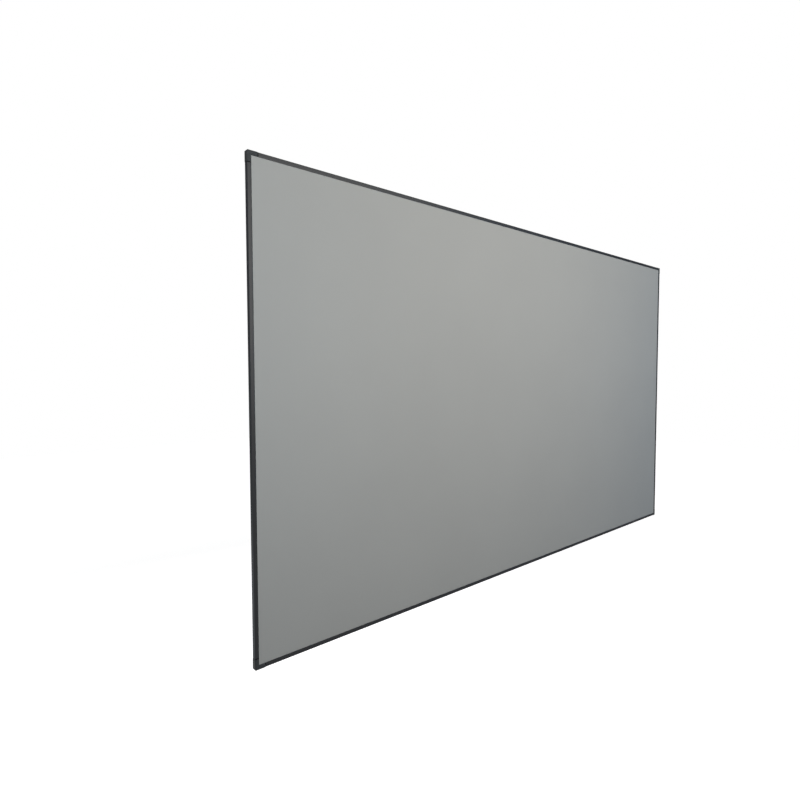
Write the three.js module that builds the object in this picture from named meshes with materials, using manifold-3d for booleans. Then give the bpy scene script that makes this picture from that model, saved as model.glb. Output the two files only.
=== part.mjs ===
// A 100 inch fixed frame projector screen, seen from the front along +Y.
//
// A grey membrane is stretched over a rectangle of mitred aluminium rails. Its edges wrap round
// the rails' rounded outer edge and end in a hem on the back, where a tension rod runs through
// the hem and springs pull the rod towards a fin on the rail. Thin black trims clip over the
// wrapped edge, and a moulded cap fills each corner. Brackets in the rails' rear channel join
// the corners, flat bars inside the rails join the two halves of the long sides, a support bar
// holds the long sides apart, and four folded hangers hook the channel to the wall.
//
// Millimetres, +Z up, the picture faces -Y. The origin is the centre of the bounding box.
//
// Each side is drawn as if it were the top one: X runs along it, u is the distance inwards from
// the trim's outer edge (so z is minus u), and v is the depth behind the trim's front face.

import * as THREE from 'three';
import { mergeVertices } from 'three/addons/utils/BufferGeometryUtils.js';
import Module from 'manifold-3d';

// The picture and the visible border
const VIEW_WIDTH = 2214;
const VIEW_HEIGHT = 1245;
const BEZEL = 11;
const GAP = 0.3;

// Trim: a C-shaped strip with a bevelled inner edge
const TRIM_WALL = 1.2;
const TRIM_EDGE = 0.5;
const TRIM_BEVEL = 2.8;
const TRIM_ROUND = 0.8;
const TRIM_REAR_LIP = 5;

// Membrane and its hem
const MEMBRANE = 0.5;
const HEM_SETBACK = 15;
const HEM_CORNER_NOTCH = 62;
const HEM_WINDOW = 14;
const ROD_DIAMETER = 5;

// Rail: a hollow plate with a spring fin and a rear channel
const RAIL_WIDTH = 56;
const RAIL_THICKNESS = 7.4;
const RAIL_DEPTH = 19.7;
const RAIL_WALL = 1.4;
const CHANNEL_WIDTH = 10.5;
const SLOT_WIDTH = 5.5;
const FIN_THICKNESS = 1.2;
const FIN_HEIGHT = 5.5;
const FIN_TO_CHANNEL = 2.8;

// Springs
const SPRING_DIAMETER = 6.4;
const SPRING_WIRE = 1.2;
const SPRING_PITCH = 170;
const SPRING_FROM_CORNER = 110;
const SPRING_FROM_JOINT = 60;
const COIL_FROM_HEM = 1;
const HOOK_RISE = 2.2;
const HOOK_TIP = 1;

// Corner brackets, splice bars and their set screws
const BRACKET_THICKNESS = 2.5;
const BRACKET_ARM = 80;
const BRACKET_SCREW_FROM_CORNER = 28;
const BRACKET_SCREW_FROM_END = 16;
const SPLICE_LENGTH = 240;
const SPLICE_SCREW_FROM_JOINT = 30;
const SPLICE_SCREW_FROM_END = 25;
const SCREW_DIAMETER = 4;
const SOCKET_DIAMETER = 2.2;
const SOCKET_DEPTH = 2;

// Support bar and its feet
const BAR_WIDTH = 30;
const BAR_DEPTH = 10;
const BAR_WALL = 1.2;
const BAR_RECESS = 0.5;
const FOOT_WIDTH = 44;
const FOOT_WALL = 2;
const FOOT_HOOK = 1.6;
const FOOT_DIP = 1;
const FOOT_SPIGOT = 25;

// Wall hangers
const HANGER_THICKNESS = 2;
const HANGER_WIDTH = 60;
const HANGER_HEIGHT = 62;
const HANGER_FROM_CORNER = 400;
const HANGER_HOLE = 5.5;
const HANGER_HOLE_SPACING = 36;
const HANGER_HOLE_FROM_END = 20;

// Corner caps
const CAP_PROUD = 0.5;
const CAP_ARM = 27;
const CAP_ROUND = 3;
const CAP_REAR_LIP = 6;

const ARC_STEPS = 8;
const ROUND_SIDES = 8;
const SPRING_SIDES = 6;
const SCREW_SIDES = 12;
const SOCKET_SIDES = 6;

// How far a cutting solid runs past what it cuts, and how close two vertices are the same one
const OVERRUN = 1;
const SAME_POINT = 1e-4;

// Outer size of the trim, and the levels that the layers stack up to
const WIDTH = VIEW_WIDTH + 2 * BEZEL;
const HEIGHT = VIEW_HEIGHT + 2 * BEZEL;
const SHEET_FRONT = TRIM_WALL + GAP;
const SHEET_BACK = SHEET_FRONT + MEMBRANE;
const RAIL_FRONT = SHEET_BACK + GAP;
const PLATE_BACK = RAIL_FRONT + RAIL_THICKNESS;
const FLAP_FRONT = PLATE_BACK + GAP;
const FLAP_BACK = FLAP_FRONT + MEMBRANE;
const TRIM_DEPTH = FLAP_BACK + GAP + TRIM_WALL;
const RAIL_REAR = RAIL_FRONT + RAIL_DEPTH;
const LIP_FRONT = RAIL_REAR - RAIL_WALL;
const HANGER_FRONT = RAIL_REAR + GAP;
const WALL_PLANE = HANGER_FRONT + HANGER_THICKNESS;
const CAP_FRONT = -CAP_PROUD;

// Distances inwards from the trim's outer edge
const NOSE = RAIL_THICKNESS / 2;
const RAIL_OUT = TRIM_WALL + GAP + MEMBRANE + GAP;
const NOSE_CENTRE = RAIL_OUT + NOSE;
const RAIL_IN = RAIL_OUT + RAIL_WIDTH;
const CHANNEL_IN = RAIL_IN - RAIL_WALL;
const CHANNEL_OUT = CHANNEL_IN - CHANNEL_WIDTH;
const CHANNEL_OUTER_WALL = CHANNEL_OUT - RAIL_WALL;
const SLOT_OUT = CHANNEL_OUT + (CHANNEL_WIDTH - SLOT_WIDTH) / 2;
const SLOT_IN = SLOT_OUT + SLOT_WIDTH;
const FIN_IN = CHANNEL_OUTER_WALL - FIN_TO_CHANNEL;
const FIN_OUT = FIN_IN - FIN_THICKNESS;
const FIN_TOP = PLATE_BACK + FIN_HEIGHT;
const ROD_RADIUS = ROD_DIAMETER / 2;
const HEM_RADIUS = ROD_RADIUS + GAP + MEMBRANE;
const ROD_DEPTH = FLAP_FRONT + HEM_RADIUS;
const SCREW_RADIUS = SCREW_DIAMETER / 2;

const PALETTE = {
  trim: [0x2e3032, 0.42, 0.85],
  cap: [0x27292a, 0.55, 0],
  rail: [0x1f2022, 0.6, 0.6],
  membrane: [0x9a9d9d, 0.75, 0],
  rod: [0xd8d6c8, 0.5, 0],
  steel: [0xb4b6b8, 0.35, 0.9],
  screw: [0x3a3a3c, 0.4, 0.9],
  nylon: [0x1b1b1c, 0.6, 0],
};

const wasm = await Module();
wasm.setup();

// A closed geometry as a solid that can be joined and cut.
function solid(geometry) {
  const loose = geometry.index ? geometry.toNonIndexed() : geometry.clone();
  loose.deleteAttribute('normal');
  loose.deleteAttribute('uv');
  const merged = mergeVertices(loose, SAME_POINT);
  return new wasm.Manifold(new wasm.Mesh({
    numProp: 3,
    vertProperties: merged.attributes.position.array,
    triVerts: new Uint32Array(merged.index.array),
  }));
}

function joined(geometries) {
  return geometries.map(solid).reduce((sum, next) => sum.add(next));
}

function cut(whole, geometries) {
  return geometries.map(solid).reduce((rest, tool) => rest.subtract(tool), whole);
}

function geometryOf(whole) {
  const mesh = whole.getMesh();
  const geometry = new THREE.BufferGeometry();
  geometry.setAttribute('position', new THREE.BufferAttribute(mesh.vertProperties, 3));
  geometry.setIndex(new THREE.BufferAttribute(mesh.triVerts, 1));
  const flat = geometry.toNonIndexed();
  flat.computeVertexNormals();
  return flat;
}

function addMesh(parent, name, geometry, look) {
  const [color, roughness, metalness] = PALETTE[look];
  const material = new THREE.MeshStandardMaterial({ color, roughness, metalness });
  const mesh = new THREE.Mesh(geometry, material);
  mesh.name = name;
  parent.add(mesh);
  return mesh;
}

// A closed outline through [u, v] points.
function outline(points) {
  return new THREE.Shape(points.map(([u, v]) => new THREE.Vector2(u, v)));
}

// A bar of a (u, v) section along X. A slope of 1 cuts that end at 45 degrees.
function bar(section, from, to, slopeFrom = 0, slopeTo = 0) {
  const geometry = new THREE.ExtrudeGeometry(section, {
    depth: 1,
    bevelEnabled: false,
    curveSegments: ARC_STEPS,
  });
  const p = geometry.attributes.position;
  for (let i = 0; i < p.count; i++) {
    const u = p.getX(i);
    const v = p.getY(i);
    const x = p.getZ(i) < 0.5 ? from + slopeFrom * u : to - slopeTo * u;
    p.setXYZ(i, x, v, -u);
  }
  return geometry;
}

// A plate whose outline is given as (x, u), between two depths.
function plate(shape, front, back) {
  const geometry = new THREE.ExtrudeGeometry(shape, {
    depth: back - front,
    bevelEnabled: false,
    curveSegments: ARC_STEPS / 2,
  });
  return geometry.rotateX(-Math.PI / 2).translate(0, front, 0);
}

function block([x0, x1], [v0, v1], [u0, u1]) {
  const geometry = new THREE.BoxGeometry(x1 - x0, v1 - v0, u1 - u0);
  return geometry.translate((x0 + x1) / 2, (v0 + v1) / 2, -(u0 + u1) / 2);
}

// A prism with flat sides at the given distance from its axis, which is Y before it is turned.
function prism(flatRadius, length, sides) {
  const radius = flatRadius / Math.cos(Math.PI / sides);
  const geometry = new THREE.CylinderGeometry(radius, radius, length, sides);
  return geometry.rotateY(Math.PI / sides);
}

function prismAlong(flatRadius, [from, to], sides, u, v) {
  const geometry = prism(flatRadius, to - from, sides).rotateZ(Math.PI / 2);
  return geometry.translate((from + to) / 2, v, -u);
}

function pin(radius, [front, back], x, u, sides = SCREW_SIDES) {
  const geometry = new THREE.CylinderGeometry(radius, radius, back - front, sides);
  return geometry.translate(x, (front + back) / 2, -u);
}

// The rail's outside: nose, front and rear faces, spring fin and open channel.
function railSection() {
  const shape = new THREE.Shape();
  shape.moveTo(NOSE_CENTRE, RAIL_FRONT);
  shape.lineTo(RAIL_IN, RAIL_FRONT);
  shape.lineTo(RAIL_IN, RAIL_REAR);
  shape.lineTo(SLOT_IN, RAIL_REAR);
  shape.lineTo(SLOT_IN, LIP_FRONT);
  shape.lineTo(CHANNEL_IN, LIP_FRONT);
  shape.lineTo(CHANNEL_IN, PLATE_BACK);
  shape.lineTo(CHANNEL_OUT, PLATE_BACK);
  shape.lineTo(CHANNEL_OUT, LIP_FRONT);
  shape.lineTo(SLOT_OUT, LIP_FRONT);
  shape.lineTo(SLOT_OUT, RAIL_REAR);
  shape.lineTo(CHANNEL_OUTER_WALL, RAIL_REAR);
  shape.lineTo(CHANNEL_OUTER_WALL, PLATE_BACK);
  shape.lineTo(FIN_IN, PLATE_BACK);
  shape.lineTo(FIN_IN, FIN_TOP);
  shape.lineTo(FIN_OUT, FIN_TOP);
  shape.lineTo(FIN_OUT, PLATE_BACK);
  shape.lineTo(NOSE_CENTRE, PLATE_BACK);
  shape.absarc(NOSE_CENTRE, RAIL_FRONT + NOSE, NOSE, Math.PI / 2, 1.5 * Math.PI, false);
  return shape;
}

// A rectangular space inside the rail's plate, drawn in by a clearance.
function chamber(out, inner, clearance) {
  const front = RAIL_FRONT + RAIL_WALL + clearance;
  const back = PLATE_BACK - RAIL_WALL - clearance;
  const [low, high] = [out + clearance, inner - clearance];
  return outline([[low, front], [high, front], [high, back], [low, back]]);
}

function splicePocket(clearance) {
  return chamber(NOSE_CENTRE + RAIL_WALL, CHANNEL_OUTER_WALL, clearance);
}

// The rail's two hollows run from end to end, one under the fin and one under the channel.
const RAIL_HOLLOWS = [splicePocket(0), chamber(CHANNEL_OUT, CHANNEL_IN, 0)];
const SPLICE_SCREW_LINE = (NOSE_CENTRE + RAIL_WALL + CHANNEL_OUTER_WALL) / 2;

// The C-shaped section of a trim or a cap, with a rounded outer edge and a lip that thins towards
// the picture. Its outside stands proud of the trims by the given distance.
function edgeSection(proud, rearLip) {
  const inside = TRIM_DEPTH - TRIM_WALL;
  const middle = TRIM_ROUND - proud;
  const shape = new THREE.Shape();
  shape.moveTo(middle, -proud);
  shape.lineTo(BEZEL - TRIM_BEVEL, -proud);
  shape.lineTo(BEZEL, TRIM_WALL - TRIM_EDGE);
  shape.lineTo(BEZEL, TRIM_WALL);
  shape.lineTo(TRIM_WALL, TRIM_WALL);
  shape.lineTo(TRIM_WALL, inside);
  shape.lineTo(rearLip, inside);
  shape.lineTo(rearLip, TRIM_DEPTH + proud);
  shape.lineTo(-proud, TRIM_DEPTH + proud);
  shape.lineTo(-proud, middle);
  shape.absarc(middle, middle, TRIM_ROUND, Math.PI, 1.5 * Math.PI, false);
  return shape;
}

// The span of one stretch of trim, which stops short of the caps.
function trimSpan({ from, to, jointFrom, jointTo }) {
  return [
    from + (jointFrom ? GAP / 2 : CAP_ARM + GAP),
    to - (jointTo ? GAP / 2 : CAP_ARM + GAP),
  ];
}

// The membrane's turn round the rail's nose, from the picture to the hem.
function wrapSection() {
  const centre = RAIL_FRONT + NOSE;
  const inner = NOSE + GAP;
  const outer = inner + MEMBRANE;
  const overlap = NOSE_CENTRE + NOSE;
  const quarter = Math.PI / 2;
  const shape = new THREE.Shape();
  shape.moveTo(overlap, SHEET_FRONT);
  shape.lineTo(NOSE_CENTRE, SHEET_FRONT);
  shape.absarc(NOSE_CENTRE, centre, outer, -quarter, quarter, true);
  shape.lineTo(HEM_SETBACK, FLAP_BACK);
  shape.lineTo(HEM_SETBACK, FLAP_FRONT);
  shape.lineTo(NOSE_CENTRE, FLAP_FRONT);
  shape.absarc(NOSE_CENTRE, centre, inner, quarter, -quarter, false);
  shape.lineTo(overlap, SHEET_BACK);
  return shape;
}

// Evenly spaced places between two ends, no further apart than the springs' pitch.
function springPlaces(from, to) {
  const gaps = Math.ceil((to - from) / SPRING_PITCH);
  return Array.from({ length: gaps + 1 }, (_, i) => from + ((to - from) * i) / gaps);
}

// Where the springs of one stretch of rail sit. A stretch that ends at the joint stays clear of it.
function springsOf({ from, to, jointFrom, jointTo }) {
  return springPlaces(
    from + (jointFrom ? SPRING_FROM_JOINT : SPRING_FROM_CORNER),
    to - (jointTo ? SPRING_FROM_JOINT : SPRING_FROM_CORNER),
  );
}

// The rod in one stretch of hem.
function rodSpan({ from, to, jointFrom, jointTo }) {
  return [
    from + (jointFrom ? GAP : HEM_CORNER_NOTCH - GAP),
    to - (jointTo ? GAP : HEM_CORNER_NOTCH - GAP),
  ];
}

// A flat strip of wire along [u, v] points, drawn as a closed outline.
function wireOutline(points) {
  const half = SPRING_WIRE / 2;
  const sideOf = (side) => points.map(([u, v], i) => {
    const [ua, va] = points[Math.max(i - 1, 0)];
    const [ub, vb] = points[Math.min(i + 1, points.length - 1)];
    const before = new THREE.Vector2(u - ua, v - va).normalize();
    const after = new THREE.Vector2(ub - u, vb - v).normalize();
    const along = before.clone().add(after).normalize();
    const straight = i > 0 && i < points.length - 1 ? before.dot(along) : 1;
    return [u - (along.y * side * half) / straight, v + (along.x * side * half) / straight];
  });
  return outline([...sideOf(-1), ...sideOf(1).reverse()]);
}

// A tension spring from the rod to the fin: its coils as one prism, its wire ends as a strip.
function spring(x) {
  const hookTop = FIN_TOP + GAP + SPRING_WIRE / 2;
  const hookDrop = FIN_IN + GAP + SPRING_WIRE / 2;
  const overFin = FIN_OUT - GAP - SPRING_WIRE / 2;
  const coilEnd = overFin - HOOK_RISE;
  const coilStart = HEM_SETBACK + HEM_RADIUS + COIL_FROM_HEM;
  const wire = wireOutline([
    [HEM_SETBACK, ROD_DEPTH],
    [coilEnd, ROD_DEPTH],
    [overFin, hookTop],
    [hookDrop, hookTop],
    [hookDrop, ROD_DEPTH - HOOK_TIP],
  ]);
  const coils = prism(SPRING_DIAMETER / 2, coilEnd - coilStart, SPRING_SIDES).rotateX(Math.PI / 2);
  coils.translate(x, ROD_DEPTH, -(coilStart + coilEnd) / 2);
  return joined([coils, bar(wire, x - SPRING_WIRE / 2, x + SPRING_WIRE / 2)]);
}

function tensionRod(stretch) {
  const rod = solid(prismAlong(ROD_RADIUS, rodSpan(stretch), ROUND_SIDES, HEM_SETBACK, ROD_DEPTH));
  return springsOf(stretch).map(spring).reduce((sum, next) => sum.add(next), rod);
}

// One side of the membrane: the turn round the nose, and the hem with a window at each spring.
function membraneEdge(length, stretches) {
  const half = length / 2 - HEM_CORNER_NOTCH;
  const span = [-half, half];
  const reach = HEM_RADIUS + OVERRUN;
  const windows = stretches.flatMap(springsOf).map((x) => block(
    [x - HEM_WINDOW / 2, x + HEM_WINDOW / 2],
    [PLATE_BACK, ROD_DEPTH + reach],
    [HEM_SETBACK - reach, HEM_SETBACK + reach],
  ));
  const hem = prismAlong(HEM_RADIUS, span, ROUND_SIDES, HEM_SETBACK, ROD_DEPTH);
  const past = [span[0] - OVERRUN, span[1] + OVERRUN];
  const bore = prismAlong(ROD_RADIUS + GAP, past, ROUND_SIDES, HEM_SETBACK, ROD_DEPTH);
  return cut(joined([bar(wrapSection(), ...span), hem]), [bore, ...windows]);
}

// A headless set screw with a hexagonal socket in its rear end.
function setScrew([front, back], x, u) {
  const depths = [back - SOCKET_DEPTH, back + OVERRUN];
  const socket = pin(SOCKET_DIAMETER / 2, depths, x, u, SOCKET_SIDES);
  return cut(solid(pin(SCREW_RADIUS, [front, back], x, u)), [socket]);
}

function screwHole([front, back], x, u) {
  return pin(SCREW_RADIUS + GAP, [front - OVERRUN, back + OVERRUN], x, u);
}

// An L in (x, u) from the frame's corner.
function ell(out, inner, arm) {
  return outline([[out, arm], [out, out], [arm, out], [arm, inner], [inner, inner], [inner, arm]]);
}

// What is cut off to round a square corner, in (x, u) from the frame's corner.
function cornerWaste(out, round) {
  const shape = new THREE.Shape();
  shape.moveTo(out - OVERRUN, out - OVERRUN);
  shape.lineTo(out + round, out - OVERRUN);
  shape.lineTo(out + round, out);
  shape.absarc(out + round, out + round, round, 1.5 * Math.PI, Math.PI, true);
  shape.lineTo(out - OVERRUN, out + round);
  return shape;
}

// A moulded cap that fills a corner between two trims. It has their section, with two arms that
// meet at 45 degrees and a rounded corner, and its inner edge ends flush with theirs.
function cornerCap() {
  const section = edgeSection(CAP_PROUD, CAP_REAR_LIP);
  const across = bar(section, 0, CAP_ARM, 1, 0);
  const upright = bar(section, -CAP_ARM, 0, 0, 1).rotateY(-Math.PI / 2);
  const rear = TRIM_DEPTH + CAP_PROUD;
  const waste = plate(cornerWaste(-CAP_PROUD, CAP_ROUND), CAP_FRONT - OVERRUN, rear + OVERRUN);
  return cut(joined([across, upright]), [waste]);
}

const BRACKET_BACK = LIP_FRONT - GAP;
const BRACKET_FRONT = BRACKET_BACK - BRACKET_THICKNESS;
const BRACKET_SCREW_SPAN = [PLATE_BACK + GAP, BRACKET_BACK];
const CHANNEL_CENTRE = (CHANNEL_OUT + CHANNEL_IN) / 2;

// The (x, u) places of a corner bracket's screws, two along each arm.
const BRACKET_OUT = CHANNEL_OUT + GAP;
const BRACKET_SCREW_PLACES = [
  BRACKET_SCREW_FROM_CORNER,
  BRACKET_ARM - BRACKET_SCREW_FROM_END,
].flatMap((along) => [
  [BRACKET_OUT + along, CHANNEL_CENTRE],
  [CHANNEL_CENTRE, BRACKET_OUT + along],
]);

function cornerBracket() {
  const shape = ell(BRACKET_OUT, CHANNEL_IN - GAP, BRACKET_OUT + BRACKET_ARM);
  const strip = plate(shape, BRACKET_FRONT, BRACKET_BACK);
  return cut(solid(strip), BRACKET_SCREW_PLACES.map(([x, u]) => (
    screwHole([BRACKET_FRONT, BRACKET_BACK], x, u)
  )));
}

const SPLICE_SCREW_PLACES = [
  SPLICE_SCREW_FROM_END - SPLICE_LENGTH / 2,
  -SPLICE_SCREW_FROM_JOINT,
  SPLICE_SCREW_FROM_JOINT,
  SPLICE_LENGTH / 2 - SPLICE_SCREW_FROM_END,
];
const SPLICE_FRONT = RAIL_FRONT + RAIL_WALL + GAP;
const SPLICE_BACK = PLATE_BACK - RAIL_WALL - GAP;

function spliceBar() {
  const whole = solid(bar(splicePocket(GAP), -SPLICE_LENGTH / 2, SPLICE_LENGTH / 2));
  return cut(whole, SPLICE_SCREW_PLACES.map((x) => (
    screwHole([SPLICE_FRONT, SPLICE_BACK], x, SPLICE_SCREW_LINE)
  )));
}

// A stretch of rail, mitred at its corners, with holes for the splice screws near its joint.
function rail({ from, to, jointFrom, jointTo }) {
  const slopes = [jointFrom ? 0 : 1, jointTo ? 0 : 1];
  const whole = solid(bar(railSection(), from + GAP, to - GAP, ...slopes));
  const hollows = RAIL_HOLLOWS.map((hollow) => bar(hollow, from - OVERRUN, to + OVERRUN, ...slopes));
  const near = jointFrom || jointTo ? SPLICE_SCREW_PLACES : [];
  const holes = near.filter((x) => x > from && x < to).map((x) => (
    screwHole([PLATE_BACK - RAIL_WALL, PLATE_BACK], x, SPLICE_SCREW_LINE)
  ));
  return cut(whole, [...hollows, ...holes]);
}

const TONGUE_BACK = LIP_FRONT - GAP;
const TONGUE_FRONT = TONGUE_BACK - HANGER_THICKNESS;

// A hanger's section. Its tongue always points up, behind the upper lip of the channel's slot:
// that is the outer lip in the top rail and the inner lip in the bottom rail.
function hangerSection(isTop) {
  const turn = isTop ? 1 : -1;
  const ledge = isTop ? SLOT_OUT + GAP : SLOT_IN - GAP;
  const ledgeFar = ledge + turn * HANGER_THICKNESS;
  const tip = isTop ? CHANNEL_OUT + 2 * GAP : CHANNEL_IN - 2 * GAP;
  const plateStart = isTop ? ledge : ledgeFar;
  const plateEnd = plateStart + HANGER_HEIGHT;
  const upper = [[tip, TONGUE_BACK], [tip, TONGUE_FRONT], [ledgeFar, TONGUE_FRONT]];
  return isTop
    ? outline([...upper, [ledgeFar, HANGER_FRONT], [plateEnd, HANGER_FRONT],
      [plateEnd, WALL_PLANE], [ledge, WALL_PLANE], [ledge, TONGUE_BACK]])
    : outline([...upper, [ledgeFar, WALL_PLANE], [plateEnd, WALL_PLANE],
      [plateEnd, HANGER_FRONT], [ledge, HANGER_FRONT], [ledge, TONGUE_BACK]]);
}

function wallHanger(isTop) {
  const start = isTop ? SLOT_OUT + GAP : SLOT_IN - GAP - HANGER_THICKNESS;
  const holeLine = start + HANGER_HEIGHT - HANGER_HOLE_FROM_END;
  const half = HANGER_WIDTH / 2;
  const holes = [-0.5, 0.5].map((side) => pin(
    HANGER_HOLE / 2,
    [HANGER_FRONT - OVERRUN, WALL_PLANE + OVERRUN],
    side * HANGER_HOLE_SPACING,
    holeLine,
  ));
  return cut(solid(bar(hangerSection(isTop), -half, half)), holes);
}

const BAR_REAR = RAIL_REAR - BAR_RECESS;
const BAR_FRONT = BAR_REAR - BAR_DEPTH;
const BAR_END = RAIL_IN + 2 * GAP + FOOT_WALL;

// The plastic foot between the support bar and a long rail, with a lip over the rail's rear.
function barFoot() {
  const face = RAIL_IN + GAP;
  const hookRear = RAIL_REAR + GAP + FOOT_HOOK;
  const dip = RAIL_REAR - FOOT_DIP;
  const hook = outline([
    [face, BAR_FRONT],
    [face + FOOT_WALL, BAR_FRONT],
    [face + FOOT_WALL, hookRear],
    [SLOT_OUT + GAP, hookRear],
    [SLOT_OUT + GAP, dip],
    [SLOT_IN - GAP, dip],
    [SLOT_IN - GAP, RAIL_REAR + GAP],
    [face, RAIL_REAR + GAP],
  ]);
  const inset = BAR_WALL + GAP;
  const halfSpigot = BAR_WIDTH / 2 - inset;
  const spigot = block(
    [-halfSpigot, halfSpigot],
    [BAR_FRONT + inset, BAR_REAR - inset],
    [face, face + FOOT_WALL + FOOT_SPIGOT],
  );
  return joined([bar(hook, -FOOT_WIDTH / 2, FOOT_WIDTH / 2), spigot]);
}

function rectangle(halfX, front, back) {
  return outline([[-halfX, front], [halfX, front], [halfX, back], [-halfX, back]]);
}

// The upright tube between the two feet.
function supportBar() {
  const half = BAR_WIDTH / 2;
  const tube = rectangle(half, BAR_FRONT, BAR_REAR);
  tube.holes = [rectangle(half - BAR_WALL, BAR_FRONT + BAR_WALL, BAR_REAR - BAR_WALL)];
  const length = HEIGHT - 2 * BAR_END;
  const geometry = new THREE.ExtrudeGeometry(tube, { depth: length, bevelEnabled: false });
  return geometry.translate(0, 0, -length / 2);
}

// The sides in clockwise order from the top. Each carries the corner at its own -X end, and the
// long sides are made in two stretches that meet at their middle.
const SIDES = [
  { name: 'top', corner: 'top_left', angle: 0, halves: ['left', 'right'] },
  { name: 'right', corner: 'top_right', angle: Math.PI / 2 },
  { name: 'bottom', corner: 'bottom_right', angle: Math.PI, halves: ['right', 'left'] },
  { name: 'left', corner: 'bottom_left', angle: -Math.PI / 2 },
].map((side) => ({
  ...side,
  length: side.halves ? WIDTH : HEIGHT,
  rise: (side.halves ? HEIGHT : WIDTH) / 2,
}));

function stretchesOf({ name, length, halves }) {
  const end = length / 2;
  if (!halves) return [{ label: name, from: -end, to: end, jointFrom: false, jointTo: false }];
  return [
    { label: `${name}_${halves[0]}`, from: -end, to: 0, jointFrom: false, jointTo: true },
    { label: `${name}_${halves[1]}`, from: 0, to: end, jointFrom: true, jointTo: false },
  ];
}

function sideGroup({ angle, rise }) {
  const turned = new THREE.Group();
  turned.rotation.y = angle;
  const edge = new THREE.Group();
  edge.position.z = rise;
  turned.add(edge);
  return { turned, edge };
}

function addStretch(edge, stretch) {
  const { label } = stretch;
  const trim = bar(edgeSection(0, TRIM_REAR_LIP), ...trimSpan(stretch));
  addMesh(edge, `rail_${label}`, geometryOf(rail(stretch)), 'rail');
  addMesh(edge, `trim_${label}`, trim, 'trim');
  addMesh(edge, `tension_rod_${label}`, geometryOf(tensionRod(stretch)), 'rod');
}

function addCorner(edge, { corner, length }) {
  const at = new THREE.Group();
  at.position.x = -length / 2;
  edge.add(at);
  addMesh(at, `corner_cap_${corner}`, geometryOf(cornerCap()), 'cap');
  addMesh(at, `corner_bracket_${corner}`, geometryOf(cornerBracket()), 'steel');
  BRACKET_SCREW_PLACES.forEach(([x, u], i) => {
    const screw = geometryOf(setScrew(BRACKET_SCREW_SPAN, x, u));
    addMesh(at, `bracket_screw_${corner}_${i + 1}`, screw, 'screw');
  });
}

// What only the long sides have: the splice, the support bar's foot and two hangers.
function addLongSide(edge, { name, length, halves }) {
  addMesh(edge, `splice_bar_${name}`, geometryOf(spliceBar()), 'steel');
  SPLICE_SCREW_PLACES.forEach((x, i) => {
    const screw = geometryOf(setScrew([SPLICE_FRONT + GAP, PLATE_BACK], x, SPLICE_SCREW_LINE));
    addMesh(edge, `splice_screw_${name}_${i + 1}`, screw, 'screw');
  });
  addMesh(edge, `support_bar_foot_${name}`, geometryOf(barFoot()), 'nylon');
  const hanger = geometryOf(wallHanger(name === 'top'));
  [-1, 1].forEach((end, i) => {
    const mesh = addMesh(edge, `wall_hanger_${name}_${halves[i]}`, hanger, 'steel');
    mesh.position.x = end * (length / 2 - HANGER_FROM_CORNER);
  });
}

// The picture's flat sheet with its four wrapped edges, in one piece.
function membrane() {
  const halfWidth = WIDTH / 2 - NOSE_CENTRE;
  const halfHeight = HEIGHT / 2 - NOSE_CENTRE;
  const sheet = block([-halfWidth, halfWidth], [SHEET_FRONT, SHEET_BACK], [-halfHeight, halfHeight]);
  return SIDES.reduce((whole, side) => {
    const edge = new THREE.Matrix4().makeTranslation(0, 0, side.rise);
    const turned = new THREE.Matrix4().makeRotationY(side.angle).multiply(edge);
    const piece = geometryOf(membraneEdge(side.length, stretchesOf(side)));
    return whole.add(solid(piece.applyMatrix4(turned)));
  }, solid(sheet));
}

function projectorScreen() {
  const screen = new THREE.Group();
  screen.name = 'fixed_frame_projector_screen';
  screen.position.y = -(CAP_FRONT + WALL_PLANE) / 2;
  addMesh(screen, 'screen_membrane', geometryOf(membrane()), 'membrane');
  addMesh(screen, 'support_bar', supportBar(), 'rail');
  for (const side of SIDES) {
    const { turned, edge } = sideGroup(side);
    screen.add(turned);
    stretchesOf(side).forEach((stretch) => addStretch(edge, stretch));
    addCorner(edge, side);
    if (side.halves) addLongSide(edge, side);
  }
  return screen;
}

export default projectorScreen();
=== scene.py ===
import math

import bmesh
import bpy
from mathutils import Matrix, Vector


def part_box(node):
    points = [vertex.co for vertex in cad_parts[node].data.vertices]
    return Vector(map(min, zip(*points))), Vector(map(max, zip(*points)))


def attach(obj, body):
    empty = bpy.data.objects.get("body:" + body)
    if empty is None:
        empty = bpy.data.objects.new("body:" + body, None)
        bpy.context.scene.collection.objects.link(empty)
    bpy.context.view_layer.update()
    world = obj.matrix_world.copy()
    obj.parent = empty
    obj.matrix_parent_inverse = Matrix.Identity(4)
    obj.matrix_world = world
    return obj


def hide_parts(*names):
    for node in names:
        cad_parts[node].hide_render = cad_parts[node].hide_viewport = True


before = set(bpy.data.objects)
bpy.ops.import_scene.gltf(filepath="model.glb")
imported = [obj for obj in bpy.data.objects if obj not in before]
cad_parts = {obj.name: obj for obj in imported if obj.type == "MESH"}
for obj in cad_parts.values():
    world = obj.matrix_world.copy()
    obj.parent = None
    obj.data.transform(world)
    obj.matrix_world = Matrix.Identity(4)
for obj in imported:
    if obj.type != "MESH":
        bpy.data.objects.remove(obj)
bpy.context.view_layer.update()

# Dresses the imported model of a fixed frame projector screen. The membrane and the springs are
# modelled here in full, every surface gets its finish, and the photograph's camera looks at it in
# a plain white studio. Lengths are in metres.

MM = 0.001

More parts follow.
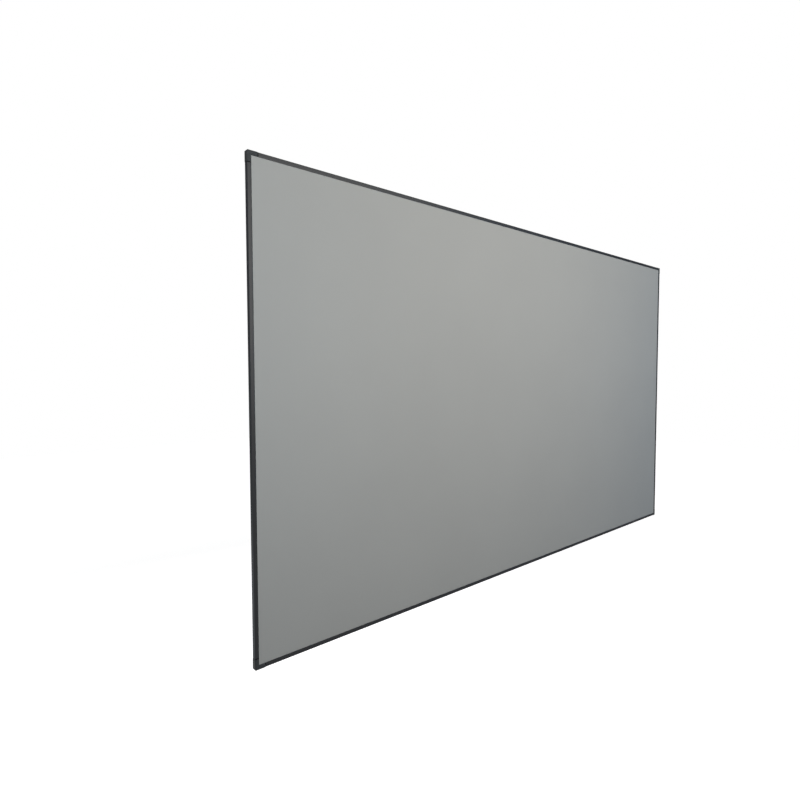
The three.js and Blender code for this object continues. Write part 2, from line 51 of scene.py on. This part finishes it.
# Sizes of the rolled and bent pieces, the same as in the part's source
GAP = 0.3 * MM
SHEET = 0.5 * MM
ROD_RADIUS = 2.5 * MM
NOSE_RADIUS = 3.7 * MM
FIN_THICKNESS = 1.2 * MM
HEM_CORNER_NOTCH = 62 * MM
HEM_WINDOW = 14 * MM
SPRING_PITCH = 170 * MM
SPRING_FROM_CORNER = 110 * MM
SPRING_FROM_JOINT = 60 * MM
COIL_DIAMETER = 6.4 * MM
COIL_FROM_HEM = 1.0 * MM
HOOK_RISE = 2.2 * MM
HOOK_TIP = 1.0 * MM
PLAIN_WIRE = 1.2 * MM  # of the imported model's plain springs, which stand in for real wire

# Sizes that only the detailed pieces have
WIRE = 0.9 * MM
COIL_TURNS = 16
LOOP_CLEARANCE = 0.05 * MM
LOOP_ANGLES = (-330, -20)
LOOP_TO_COIL = 0.2 * MM
COIL_TO_HOOK = 0.9 * MM
HOOK_BEND = 0.7 * MM
ROD_CHAMFER = 0.5 * MM
HEM_TAIL_END = 7.6 * MM
HEM_FOLD_RADIUS = 1.0 * MM
HEM_FOLD_CLEARANCE = 0.03 * MM
FLAP_WINDOW_START = 10.7 * MM

# How finely the detailed pieces are meshed
NOSE_STEPS = 18
HEM_STEPS = 24
FOLD_STEPS = 6
LOOP_STEPS = 22
COIL_STEPS = 14
BEND_STEPS = 4
ROD_SIDES = 24
WIRE_SIDES = 7
PICTURE_STEP = 40 * MM
PICTURE_SUPPORT = 2.0 * MM
SAME_POINT = 0.01 * MM

# Outer size of the trims and the depths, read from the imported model
rod_low, rod_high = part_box("tension_rod_left")
rail_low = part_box("rail_left")[0]
sheet_low, sheet_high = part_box("screen_membrane")
HALF_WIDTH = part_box("trim_right")[1].x
HALF_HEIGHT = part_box("trim_top_left")[1].z
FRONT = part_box("trim_left")[0].y
HEM_RADIUS = ROD_RADIUS + GAP + SHEET
ROD_DEPTH = sheet_high.y - FRONT - HEM_RADIUS
ROD_SETBACK = rod_low.x + HALF_WIDTH + ROD_RADIUS
SHEET_MIDDLE = sheet_low.y - FRONT + SHEET / 2
WRAP_RADIUS = NOSE_RADIUS + GAP + SHEET / 2
NOSE_CENTRE = rail_low.x + HALF_WIDTH + NOSE_RADIUS
HOOK_REACH = rod_high.x + HALF_WIDTH - PLAIN_WIRE / 2
HOOK_TOP = rod_high.y - FRONT - PLAIN_WIRE / 2


# Places along each side

SIDES = {
    # side: turn about Y, length, distance from the middle, stretches
    "top": (0.0, 2 * HALF_WIDTH, HALF_HEIGHT, ["top_left", "top_right"]),
    "right": (math.pi / 2, 2 * HALF_HEIGHT, HALF_WIDTH, ["right"]),
    "bottom": (math.pi, 2 * HALF_WIDTH, HALF_HEIGHT, ["bottom_right", "bottom_left"]),
    "left": (-math.pi / 2, 2 * HALF_HEIGHT, HALF_WIDTH, ["left"]),
}
# Taken off a count of gaps, so that a whole number isn't rounded up
COUNT_SLACK = 1e-6


def place(side, x, inward, depth):
    """A point on a side: x along it as if it were the top one, inward from its outer edge."""
    angle, _, rise, _ = SIDES[side]
    return Matrix.Rotation(angle, 3, "Y") @ Vector((x, FRONT + depth, rise - inward))


def spring_places(start, end):
    """Evenly spaced places from start to end, no further apart than the springs' pitch."""
    gaps = math.ceil((end - start) / SPRING_PITCH - COUNT_SLACK)
    return [start + (end - start) * i / gaps for i in range(gaps + 1)]


def stretches(side):
    """Each stretch of a side: its name, its rod's two ends and its springs' places."""
    _, length, _, names = SIDES[side]
    half = length / 2
    notch = HEM_CORNER_NOTCH - GAP
    if len(names) == 1:
        springs = spring_places(SPRING_FROM_CORNER - half, half - SPRING_FROM_CORNER)
        return [(names[0], (notch - half, half - notch), springs)]
    springs = spring_places(SPRING_FROM_CORNER - half, -SPRING_FROM_JOINT)
    first = (names[0], (notch - half, -GAP), springs)
    second = (names[1], (GAP, half - notch), [-x for x in reversed(springs)])
    return [first, second]


# Mesh helpers

def add_object(name, data):
    made = bpy.data.objects.new(name, data)
    bpy.context.scene.collection.objects.link(made)
    return made


def mesh_object(name, vertices, faces, material, smooth=True):
    mesh = bpy.data.meshes.new(name)
    mesh.from_pydata([tuple(v) for v in vertices], [], faces)
    for polygon in mesh.polygons:
        polygon.use_smooth = smooth
    mesh.materials.append(material)
    mesh.update()
    return add_object(name, mesh)


def join_rings(first, rings, sides, faces):
    """Adds the faces of a closed tube whose rings of vertices follow each other from first."""
    for ring in range(rings - 1):
        for k in range(sides):
            low = first + ring * sides
            a, b = low + k, low + (k + 1) % sides
            faces.append((a, b, b + sides, a + sides))
    last = first + (rings - 1) * sides
    faces.append(tuple(reversed(range(first, first + sides))))
    faces.append(tuple(range(last, last + sides)))


def tube(path, radius, sides, vertices, faces):
    """Adds a closed tube along a path of points, turning its section as little as it can."""
    first = len(vertices)
    side = None
    for i, point in enumerate(path):
        ahead = path[min(i + 1, len(path) - 1)] - path[max(i - 1, 0)]
        ahead.normalize()
        if side is None:
            side = ahead.orthogonal().normalized()
        side = (side - ahead * side.dot(ahead)).normalized()
        up = ahead.cross(side)
        for k in range(sides):
            turn = 2 * math.pi * k / sides
            outward = side * math.cos(turn) + up * math.sin(turn)
            vertices.append(point + outward * radius)
    join_rings(first, len(path), sides, faces)


def arc(centre, radius, start, end, steps):
    """Points (inward, depth) on an arc, from one angle to another in degrees."""
    points = []
    for i in range(steps + 1):
        angle = math.radians(start + (end - start) * i / steps)
        points.append((centre[0] + radius * math.cos(angle), centre[1] + radius * math.sin(angle)))
    return points


def rounded(points, radius, steps):
    """The path through points with each inner corner turned on an arc-like curve."""
    path = [points[0]]
    for before, corner, after in zip(points, points[1:], points[2:]):
        start = corner + (before - corner).normalized() * radius
        end = corner + (after - corner).normalized() * radius
        for i in range(steps + 1):
            t = i / steps
            path.append(start * (1 - t) ** 2 + corner * (2 * t * (1 - t)) + end * t ** 2)
    path.append(points[-1])
    return path


# Node helpers, whose owner is a material or the world

def add_node(owner, kind, **values):
    """Adds a node and sets its inputs or, where it has no input of that name, its options."""
    node = owner.node_tree.nodes.new(kind)
    for name, value in values.items():
        if name in node.inputs:
            node.inputs[name].default_value = value
        else:
            setattr(node, name, value)
    return node


def link(owner, output, target):
    owner.node_tree.links.new(output, target)


def spread(owner, value, low, high, new_low, new_high):
    """Maps a value's range on to another."""
    node = add_node(owner, "ShaderNodeMapRange", clamp=True)
    for index, number in enumerate((low, high, new_low, new_high), start=1):
        node.inputs[index].default_value = number
    link(owner, value, node.inputs[0])
    return node.outputs["Result"]


def calculate(owner, operation, *values):
    """The result of a Math node on the outputs of one or two other nodes."""
    node = add_node(owner, "ShaderNodeMath", operation=operation)
    for value, target in zip(values, node.inputs):
        link(owner, value, target)
    return node.outputs[0]


# Material helpers

def shader_input(material, name):
    return material.node_tree.nodes["Principled BSDF"].inputs[name]


def feed(material, name, output):
    """Links a node's output to one of the shader's inputs."""
    link(material, output, shader_input(material, name))


def new_material(name, colour, roughness, metallic=0.0, specular=0.5):
    material = bpy.data.materials.new(name)
    material.use_nodes = True
    material.diffuse_color = (*colour, 1)
    shader_input(material, "Base Color").default_value = (*colour, 1)
    shader_input(material, "Roughness").default_value = roughness
    shader_input(material, "Metallic").default_value = metallic
    shader_input(material, "Specular IOR Level").default_value = specular
    return material


def texture(material, kind, stretch=(1, 1, 1), **values):
    """A texture on the object's own coordinates, squeezed or stretched along X, Y and Z."""
    coordinates = add_node(material, "ShaderNodeTexCoord")
    mapping = add_node(material, "ShaderNodeMapping", Scale=stretch)
    link(material, coordinates.outputs["Object"], mapping.inputs["Vector"])
    node = add_node(material, kind, **values)
    link(material, mapping.outputs["Vector"], node.inputs["Vector"])
    return node


def noise(material, scale, detail, stretch=(1, 1, 1)):
    node = texture(material, "ShaderNodeTexNoise", stretch, Scale=scale, Detail=detail)
    return node.outputs["Fac"]


def crystals(material, scale):
    return texture(material, "ShaderNodeTexVoronoi", Scale=scale, Randomness=1.0)


def blend_colours(material, factor, low, high):
    """Mixes two colours, each a tuple or another node's output."""
    node = add_node(material, "ShaderNodeMix", data_type="RGBA")
    sockets = [socket for socket in node.inputs if socket.type == "RGBA"]
    for socket, colour in zip(sockets, (low, high)):
        if isinstance(colour, tuple):
            socket.default_value = (*colour, 1)
        else:
            link(material, colour, socket)
    link(material, factor, node.inputs[0])
    return next(socket for socket in node.outputs if socket.type == "RGBA")


def shade(colour, factor):
    return tuple(channel * factor for channel in colour)


def tones(material, value, low, high, colour, darkest, lightest):
    """From a darker to a lighter shade of a colour, as a value goes from low to high."""
    factor = spread(material, value, low, high, 0, 1)
    return blend_colours(material, factor, shade(colour, darkest), shade(colour, lightest))


def bump(material, height, distance, strength):
    node = add_node(material, "ShaderNodeBump", Strength=strength, Distance=distance)
    link(material, height, node.inputs["Height"])
    feed(material, "Normal", node.outputs["Normal"])


def edge_wear(material):
    """Rises from 0 on flat faces to 1 on outward edges."""
    geometry = add_node(material, "ShaderNodeNewGeometry")
    return spread(material, geometry.outputs["Pointiness"], *EDGE_POINTINESS, 0, 1)


def along(axis, fine):
    """How a grain is stretched so that it runs along an axis."""
    return tuple(fine if letter == axis else 1.0 for letter in "XYZ")


def seam_shadow_band(material, axis, end):
    """Painted seam shadow: 1 on the last stretch of a bar before an end, measured from the middle,
    and 0 elsewhere.
    """
    coordinates = add_node(material, "ShaderNodeTexCoord")
    split = add_node(material, "ShaderNodeSeparateXYZ")
    link(material, coordinates.outputs["Object"], split.inputs[0])
    reach = calculate(material, "ABSOLUTE", split.outputs[axis])
    start = end - SEAM_SHADOW_BAND
    return spread(material, reach, start - SEAM_SHADOW_EDGE, start, 0, 1)


# Colours

SCREEN_GREY = (0.350, 0.352, 0.352)
BACKING_BLACK = (0.018, 0.019, 0.021)
TRIM_BLACK = (0.0122, 0.0138, 0.0156)
TRIM_WORN = (0.030, 0.031, 0.033)
TRIM_SHEEN = (0.520, 0.525, 0.540)
# The black of the painted shadow at the trims' ends, where they meet the caps
SEAM_SHADOW_BLACK = (0.002, 0.002, 0.002)
CAP_BLACK = (0.0430, 0.0460, 0.0500)
RAIL_BLACK = (0.022, 0.023, 0.025)
ROD_CREAM = (0.60, 0.56, 0.43)
ZINC = (0.37, 0.38, 0.40)
SPRING_STEEL = (0.50, 0.50, 0.50)
SPRING_WORN = (0.6, 0.6, 0.6)
BLACK_OXIDE = (0.05, 0.05, 0.055)
OXIDE_WORN = (0.2, 0.2, 0.2)
FOOT_BLACK = (0.018, 0.018, 0.019)

# The range that nearly all of a noise's values lie in
NOISE_RANGE = (0.3, 0.7)

# The pointiness at which an edge starts to look rubbed, and at which it is fully so
EDGE_POINTINESS = (0.51, 0.56)

# The band of painted shadow on the trims' sawn ends, where they meet the caps, and where those
# ends are
SEAM_SHADOW_BAND = 1.6 * MM
SEAM_SHADOW_EDGE = 0.3 * MM
TRIM_END_ACROSS = -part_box("trim_top_left")[0].x
TRIM_END_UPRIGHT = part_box("trim_left")[1].z


# Finishes

def screen_surface():
    """Matte coated sheet: a faint cloud in its tone, and a fine pebble with faint roll marks."""
    material = new_material("screen_surface", SCREEN_GREY, 0.82, specular=0.25)
    cloud = noise(material, 3.0, 2.0)
    feed(material, "Base Color", tones(material, cloud, *NOISE_RANGE, SCREEN_GREY, 0.985, 1.015))
    pebble = noise(material, 2600, 2.0)
    feed(material, "Roughness", spread(material, pebble, *NOISE_RANGE, 0.76, 0.88))
    roll = noise(material, 900, 1.0, stretch=along("X", 0.02))
    bump(material, calculate(material, "ADD", pebble, roll), 0.04 * MM, 0.5)
    return material


def screen_backing():
    """The sheet's black back: a knitted scrim that shows as fine crossed ribs."""
    material = new_material("screen_backing", BACKING_BLACK, 0.7, specular=0.3)
    ribs = []
    for direction in ("X", "Z"):
        wave = texture(
            material, "ShaderNodeTexWave", bands_direction=direction,
            Scale=320.0, Distortion=0.6, Detail=1.0,
        )
        ribs.append(wave.outputs["Fac"])
    weave = calculate(material, "ADD", *ribs)
    feed(material, "Base Color", tones(material, weave, 0.4, 1.8, BACKING_BLACK, 0.8, 1.5))
    bump(material, weave, 0.2 * MM, 0.6)
    return material


def brushed(name, colour, axis, roughness, worn, edge_tint=(1, 1, 1), shadowed_end=None):
    """Metal with a fine grain along one axis and slightly rubbed edges. A lower edge tint keeps a
    dark finish dark at a low angle. Bars with a given shadowed end, measured from the middle along
    the axis, have a narrow black band of painted shadow there, where they meet the caps."""
    material = new_material(name, colour, roughness, metallic=1.0)
    shader_input(material, "Specular Tint").default_value = (*edge_tint, 1)
    grain = noise(material, 2200, 3.0, stretch=along(axis, 0.012))
    cloud = noise(material, 14, 3.0)
    tone = tones(material, calculate(material, "ADD", grain, cloud), 0.6, 1.4, colour, 0.86, 1.14)
    finish = blend_colours(material, edge_wear(material), tone, worn)
    # Painted shadow: a narrow black band at the bar's end, where it meets a cap
    if shadowed_end is not None:
        seam_shadow = seam_shadow_band(material, axis, shadowed_end)
        finish = blend_colours(material, seam_shadow, finish, SEAM_SHADOW_BLACK)
    feed(material, "Base Color", finish)
    gloss = spread(material, grain, *NOISE_RANGE, roughness - 0.06, roughness + 0.08)
    feed(material, "Roughness", gloss)
    bump(material, grain, 0.03 * MM, 0.4)
    return material


def moulded(name, colour, roughness, grain_scale, depth):
    """Moulded plastic with a spark-eroded grain, nearly without shine."""
    material = new_material(name, colour, roughness, specular=0.06)
    grain = crystals(material, grain_scale)
    fine = noise(material, grain_scale * 2, 3.0)
    feed(material, "Base Color", tones(material, fine, *NOISE_RANGE, colour, 0.85, 1.2))
    gloss = spread(material, fine, *NOISE_RANGE, roughness - 0.07, roughness + 0.07)
    feed(material, "Roughness", gloss)
    bump(material, calculate(material, "ADD", grain.outputs["Distance"], fine), depth, 0.5)
    return material


def powder_coat():
    """Matte black coat with the shallow orange peel of baked powder."""
    material = new_material("powder_coat", RAIL_BLACK, 0.55)
    peel = noise(material, 700, 2.0)
    speckle = noise(material, 3500, 2.0)
    feed(material, "Base Color", tones(material, speckle, 0.35, 0.65, RAIL_BLACK, 0.8, 1.35))
    feed(material, "Roughness", spread(material, peel, *NOISE_RANGE, 0.46, 0.64))
    bump(material, calculate(material, "ADD", peel, speckle), 0.08 * MM, 0.5)
    return material


def zinc_plate():
    """Zinc plated sheet: crystal patches, a fine rolling grain and dulled spots."""
    material = new_material("zinc_plate", ZINC, 0.34, metallic=1.0)
    patches = add_node(material, "ShaderNodeSeparateColor")
    link(material, crystals(material, 260.0).outputs["Color"], patches.inputs[0])
    pale, glossy = patches.outputs[0], patches.outputs[1]
    feed(material, "Base Color", tones(material, pale, 0, 1, ZINC, 0.88, 1.06))
    dull = calculate(material, "ADD", glossy, noise(material, 60, 4.0))
    feed(material, "Roughness", spread(material, dull, 0.4, 1.5, 0.34, 0.48))
    bump(material, noise(material, 1800, 2.0), 0.02 * MM, 0.4)
    return material


def glass_fibre():
    """Pultruded rod: pale resin with long darker strands of fibre."""
    material = new_material("glass_fibre", ROD_CREAM, 0.42)
    lengthwise = [noise(material, 1500, 2.0, stretch=along(axis, 0.01)) for axis in "XZ"]
    strands = calculate(material, "ADD", *lengthwise)
    feed(material, "Base Color", tones(material, strands, 0.7, 1.3, ROD_CREAM, 0.72, 1.12))
    bump(material, strands, 0.05 * MM, 0.5)
    return material


MATERIALS = {
    "screen": screen_surface(),
    "backing": screen_backing(),
    "trim_x": brushed(
        "trim_anodised_across", TRIM_BLACK, "X", 0.40, TRIM_WORN, TRIM_SHEEN, TRIM_END_ACROSS
    ),
    "trim_z": brushed(
        "trim_anodised_upright", TRIM_BLACK, "Z", 0.40, TRIM_WORN, TRIM_SHEEN, TRIM_END_UPRIGHT
    ),
    "cap": moulded("cap_plastic", CAP_BLACK, 0.5, 1400, 0.06 * MM),
    "rail": powder_coat(),
    "rod": glass_fibre(),
    "zinc": zinc_plate(),
    "spring": brushed("spring_wire", SPRING_STEEL, "X", 0.32, SPRING_WORN),
    "screw": brushed("black_oxide", BLACK_OXIDE, "Y", 0.42, OXIDE_WORN),
    "foot": moulded("foot_nylon", FOOT_BLACK, 0.55, 900, 0.1 * MM),
}


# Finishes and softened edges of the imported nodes

NODE_LOOKS = [
    # name starts with, material, edge width; the first row that fits counts
    ("trim_left", "trim_z", 0.2 * MM),
    ("trim_right", "trim_z", 0.2 * MM),
    ("trim_", "trim_x", 0.2 * MM),
    ("corner_cap", "cap", 0.5 * MM),
    ("rail", "rail", 0.25 * MM),
    ("support_bar_foot", "foot", 0.4 * MM),
    ("support_bar", "rail", 0.8 * MM),
    ("corner_bracket", "zinc", 0.25 * MM),
    ("splice_bar", "zinc", 0.25 * MM),
    ("wall_hanger", "zinc", 0.35 * MM),
    ("bracket_screw", "screw", 0.15 * MM),
    ("splice_screw", "screw", 0.15 * MM),
]
EDGE_ANGLE = math.radians(38)
EDGE_SEGMENTS = 3


def dress_nodes():
    for name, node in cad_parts.items():
        look = next((row for row in NODE_LOOKS if name.startswith(row[0])), None)
        if look is None:
            continue
        _, material, width = look
        node.data.materials.clear()
        node.data.materials.append(MATERIALS[material])
        edges = node.modifiers.new("soft_edges", "BEVEL")
        edges.width = width
        edges.segments = EDGE_SEGMENTS
        edges.limit_method = "ANGLE"
        edges.angle_limit = EDGE_ANGLE


# The membrane

def hem_path():
    """The sheet's middle line from the picture's edge to the hem's welded tail, as points
    (inward, depth), and the number of points before the windows start."""
    path = arc((NOSE_CENTRE, SHEET_MIDDLE + WRAP_RADIUS), WRAP_RADIUS, -90, -270, NOSE_STEPS)
    flap = path[-1][1]
    path.append((FLAP_WINDOW_START, flap))
    before_window = len(path)
    loop = ROD_RADIUS + GAP + SHEET / 2
    path += arc((ROD_SETBACK, ROD_DEPTH), loop, -90, 180, HEM_STEPS)
    fold_inward = ROD_SETBACK - loop - HEM_FOLD_RADIUS
    fold_depth = flap + SHEET + HEM_FOLD_CLEARANCE + HEM_FOLD_RADIUS
    path += arc((fold_inward, fold_depth), HEM_FOLD_RADIUS, 0, -90, FOLD_STEPS)
    path.append((HEM_TAIL_END, path[-1][1]))
    return path, before_window


def hem_lines(side):
    """Places along a side where the hem's mesh has a line: its ends, its windows' edges and
    enough between them."""
    edge = SIDES[side][1] / 2 - HEM_CORNER_NOTCH
    lines = {-edge, edge}
    for _, _, springs in stretches(side):
        for x in springs:
            lines |= {x - HEM_WINDOW / 2, x + HEM_WINDOW / 2}
    lines = sorted(lines)
    full = [lines[0]]
    for low, high in zip(lines, lines[1:]):
        steps = max(1, math.ceil((high - low) / PICTURE_STEP))
        full += [low + (high - low) * i / steps for i in range(1, steps + 1)]
    return full


def picture_lines(side):
    """Places along a side where the flat picture's mesh has a line, from end to end."""
    half = SIDES[side][1] / 2 - NOSE_CENTRE
    return [-half, PICTURE_SUPPORT - half, *hem_lines(side), half - PICTURE_SUPPORT, half]


def in_window(side, low, high):
    middle = (low + high) / 2
    return any(
        abs(middle - x) < HEM_WINDOW / 2 for _, _, springs in stretches(side) for x in springs
    )


def add_picture(body, across, upright):
    """Adds the flat picture as a grid on the given lines."""
    corner = {}
    for x in across:
        for z in upright:
            corner[x, z] = body.verts.new((x, FRONT + SHEET_MIDDLE, z))
    for x0, x1 in zip(across, across[1:]):
        for z0, z1 in zip(upright, upright[1:]):
            body.faces.new((corner[x0, z0], corner[x1, z0], corner[x1, z1], corner[x0, z1]))


def add_hem(body, side, path, before_window):
    """Adds the hem's path drawn along a side, cut short where a spring has its window."""
    lines = hem_lines(side)
    rows = {x: [body.verts.new(place(side, x, u, v)) for u, v in path] for x in lines}
    for low, high in zip(lines, lines[1:]):
        last = before_window if in_window(side, low, high) else len(path)
        for i in range(last - 1):
            body.faces.new((rows[low][i], rows[high][i], rows[high][i + 1], rows[low][i + 1]))


def finish_sheet(body):
    """Joins the sheet's parts, drops unused points and turns its face to the front."""
    bmesh.ops.remove_doubles(body, verts=body.verts, dist=SAME_POINT)
    unused = [v for v in body.verts if not v.link_faces]
    bmesh.ops.delete(body, geom=unused, context="VERTS")
    bmesh.ops.recalc_face_normals(body, faces=body.faces)
    largest = max(body.faces, key=lambda face: face.calc_area())
    if largest.normal.y > 0:
        bmesh.ops.reverse_faces(body, faces=body.faces)
    for face in body.faces:
        face.smooth = True


def build_membrane():
    """One sheet: the flat picture, its turn round the rails and the hem with its windows."""
    body = bmesh.new()
    path, before_window = hem_path()
    across, upright = picture_lines("top"), picture_lines("right")
    add_picture(body, across, upright)
    for side in SIDES:
        add_hem(body, side, path, before_window)
    finish_sheet(body)
    mesh = bpy.data.meshes.new("membrane_sheet")
    body.to_mesh(mesh)
    body.free()
    mesh.materials.append(MATERIALS["screen"])
    mesh.materials.append(MATERIALS["backing"])
    piece = add_object("membrane_sheet", mesh)
    solid = piece.modifiers.new("thickness", "SOLIDIFY")
    solid.thickness = SHEET
    solid.offset = 0
    solid.use_even_offset = True
    solid.material_offset = 1
    solid.material_offset_rim = 1
    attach(piece, "root")
    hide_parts("screen_membrane")


# Tension rods and springs

def rod_shape(side, low, high):
    """The vertices and faces of a round rod with chamfered ends, along a side."""
    vertices, faces = [], []
    ends = (low, low + ROD_CHAMFER, high - ROD_CHAMFER, high)
    radii = (ROD_RADIUS - ROD_CHAMFER, ROD_RADIUS, ROD_RADIUS, ROD_RADIUS - ROD_CHAMFER)
    for x, radius in zip(ends, radii):
        for k in range(ROD_SIDES):
            turn = 2 * math.pi * k / ROD_SIDES
            inward = ROD_SETBACK + radius * math.cos(turn)
            depth = ROD_DEPTH + radius * math.sin(turn)
            vertices.append(place(side, x, inward, depth))
    join_rings(0, len(ends), ROD_SIDES, faces)
    return vertices, faces


def spring_path(side, x):
    """The wire's middle line: loop round the rod, coils, and the hook over the rail's fin."""
    radius = (COIL_DIAMETER - WIRE) / 2
    loop = ROD_RADIUS + WIRE / 2 + LOOP_CLEARANCE
    hem_end = ROD_SETBACK + HEM_RADIUS
    over_fin = HOOK_REACH - FIN_THICKNESS - PLAIN_WIRE - 2 * GAP
    coil_start = hem_end + COIL_FROM_HEM
    coil_end = over_fin - HOOK_RISE
    turned = arc((ROD_SETBACK, ROD_DEPTH), loop, *LOOP_ANGLES, LOOP_STEPS)
    path = [place(side, x, u, v) for u, v in turned]
    path.append(place(side, x, hem_end + LOOP_TO_COIL, ROD_DEPTH - radius / 2))
    steps = COIL_TURNS * COIL_STEPS
    for i in range(steps + 1):
        turn = 2 * math.pi * i / COIL_STEPS
        inward = coil_start + (coil_end - coil_start) * i / steps
        depth = ROD_DEPTH - radius * math.cos(turn)
        path.append(place(side, x + radius * math.sin(turn), inward, depth))
    hook = [
        path[-1],
        place(side, x, coil_end + COIL_TO_HOOK, ROD_DEPTH),
        place(side, x, over_fin, HOOK_TOP),
        place(side, x, HOOK_REACH, HOOK_TOP),
        place(side, x, HOOK_REACH, ROD_DEPTH - HOOK_TIP),
    ]
    return path[:-1] + rounded(hook, HOOK_BEND, BEND_STEPS)


def build_rods_and_springs():
    for side in SIDES:
        for name, (low, high), springs in stretches(side):
            vertices, faces = rod_shape(side, low, high)
            rod = mesh_object(f"rod_{name}", vertices, faces, MATERIALS["rod"])
            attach(rod, "root")
            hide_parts(f"tension_rod_{name}")
            vertices, faces = [], []
            for x in springs:
                tube(spring_path(side, x), WIRE / 2, WIRE_SIDES, vertices, faces)
            coils = mesh_object(f"springs_{name}", vertices, faces, MATERIALS["spring"])
            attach(coils, "root")


# Studio

# The camera: its lens and sensor in millimetres, and its turns in degrees
CAMERA_FOCAL = 24.288
CAMERA_SENSOR = 36.0
CAMERA_PLACE = (-1.7046, FRONT - 1.2191, 0.1019)
CAMERA_TILT = 87.2065
CAMERA_PAN = -41.1523
CAMERA_ROLL = -0.147
CAMERA_SIGHT = 100

# The light that the world throws on the object
AMBIENT = 0.06

# The floor's distance below the screen, its reach from the middle and its surface, and how far it
# is lifted towards white at two distances from the middle
FLOOR_DROP = 1.2
FLOOR_REACH = 14
FLOOR_GREY = (0.86, 0.86, 0.86)
FLOOR_ROUGHNESS = 0.9
FLOOR_LIFT_DISTANCES = (1.5, 6.0)
FLOOR_LIFTS = (0.7, 0.95)

LAMPS = [
    # name, place, aimed at, width and height, watts, colour
    ("key", (-0.66, -1.65, 0.57), (-0.66, 0, 0.51), (3.3, 1.0), 33.6, (1.0, 0.970, 0.885)),
    ("upper_key", (0.35, -1.65, 1.36), (0.35, 0, 0.9), (1.8, 0.45), 8.4, (1.0, 0.97, 0.90)),
    ("left_fill", (-1.9, -1.1, 0.4), (-1.12, 0, 0.4), (0.3, 1.0), 1.5, (0.3, 1.0, 1.7)),
    ("right_fill", (2.0, -1.9, 0.4), (1.15, 0, 0.1), (1.0, 1.4), 8.2, (0.60, 0.97, 1.38)),
    ("side_fill", (-2.0, 1.3, -1.1), (-1.1, 0, -0.6), (0.9, 0.6), 4.5, (1, 1, 1)),
    ("back_fill", (0.4, 3.2, 1.4), (0, 0, 0), (3.0, 2.0), 90, (1, 1, 1)),
]


def make_camera():
    camera = add_object("camera", bpy.data.cameras.new("camera"))
    camera.data.sensor_width = CAMERA_SENSOR
    camera.data.lens = CAMERA_FOCAL
    camera.data.clip_end = CAMERA_SIGHT
    aim = Matrix.Rotation(math.radians(CAMERA_PAN), 4, "Z")
    aim @= Matrix.Rotation(math.radians(CAMERA_TILT), 4, "X")
    aim @= Matrix.Rotation(math.radians(CAMERA_ROLL), 4, "Z")
    camera.matrix_world = Matrix.Translation(CAMERA_PLACE) @ aim
    bpy.context.scene.camera = camera


def softbox(name, stands_at, looks_at, size, power, colour):
    light = bpy.data.lights.new(name, "AREA")
    light.shape = "RECTANGLE"
    light.size, light.size_y = size
    light.energy = power
    light.color = colour
    lamp = add_object(name, light)
    lamp.location = stands_at
    aim = Vector(looks_at) - Vector(stands_at)
    lamp.rotation_euler = aim.to_track_quat("-Z", "Y").to_euler()
    lamp.visible_camera = False


def seen_directly(owner):
    """1 for camera, glossy and transmitted rays, 0 for the light that falls on the object."""
    path = add_node(owner, "ShaderNodeLightPath").outputs
    seen = calculate(owner, "MAXIMUM", path["Is Camera Ray"], path["Is Glossy Ray"])
    return calculate(owner, "MAXIMUM", seen, path["Is Transmission Ray"])


def make_world():
    """White where it is seen or mirrored, and a low even light on the object."""
    world = bpy.data.worlds.new("studio")
    world.use_nodes = True
    bpy.context.scene.world = world
    world.node_tree.nodes.clear()
    soft = add_node(world, "ShaderNodeBackground", Color=(1, 1, 1, 1), Strength=AMBIENT)
    white = add_node(world, "ShaderNodeBackground", Color=(1, 1, 1, 1), Strength=1.0)
    mix = add_node(world, "ShaderNodeMixShader")
    link(world, seen_directly(world), mix.inputs[0])
    link(world, soft.outputs[0], mix.inputs[1])
    link(world, white.outputs[0], mix.inputs[2])
    output = add_node(world, "ShaderNodeOutputWorld")
    link(world, mix.outputs[0], output.inputs["Surface"])


def make_floor():
    """A wide pale floor, lifted to white where it is seen, so that only its shadow shows."""
    level = -HALF_HEIGHT - FLOOR_DROP
    quarters = ((-1, -1), (1, -1), (1, 1), (-1, 1))
    corners = [(x * FLOOR_REACH, y * FLOOR_REACH, level) for x, y in quarters]
    material = new_material("floor_white", FLOOR_GREY, FLOOR_ROUGHNESS)
    coordinates = add_node(material, "ShaderNodeTexCoord")
    distance = add_node(material, "ShaderNodeVectorMath", operation="LENGTH")
    link(material, coordinates.outputs["Object"], distance.inputs[0])
    lift = spread(material, distance.outputs["Value"], *FLOOR_LIFT_DISTANCES, *FLOOR_LIFTS)
    shader_input(material, "Emission Color").default_value = (1, 1, 1, 1)
    glow = calculate(material, "MULTIPLY", seen_directly(material), lift)
    feed(material, "Emission Strength", glow)
    floor = mesh_object("floor", corners, [(0, 1, 2, 3)], material, smooth=False)


def make_studio():
    make_camera()
    make_world()
    make_floor()
    for lamp in LAMPS:
        softbox(*lamp)
    bpy.context.scene.view_settings.view_transform = "Standard"


make_studio()
dress_nodes()
build_membrane()
build_rods_and_springs()
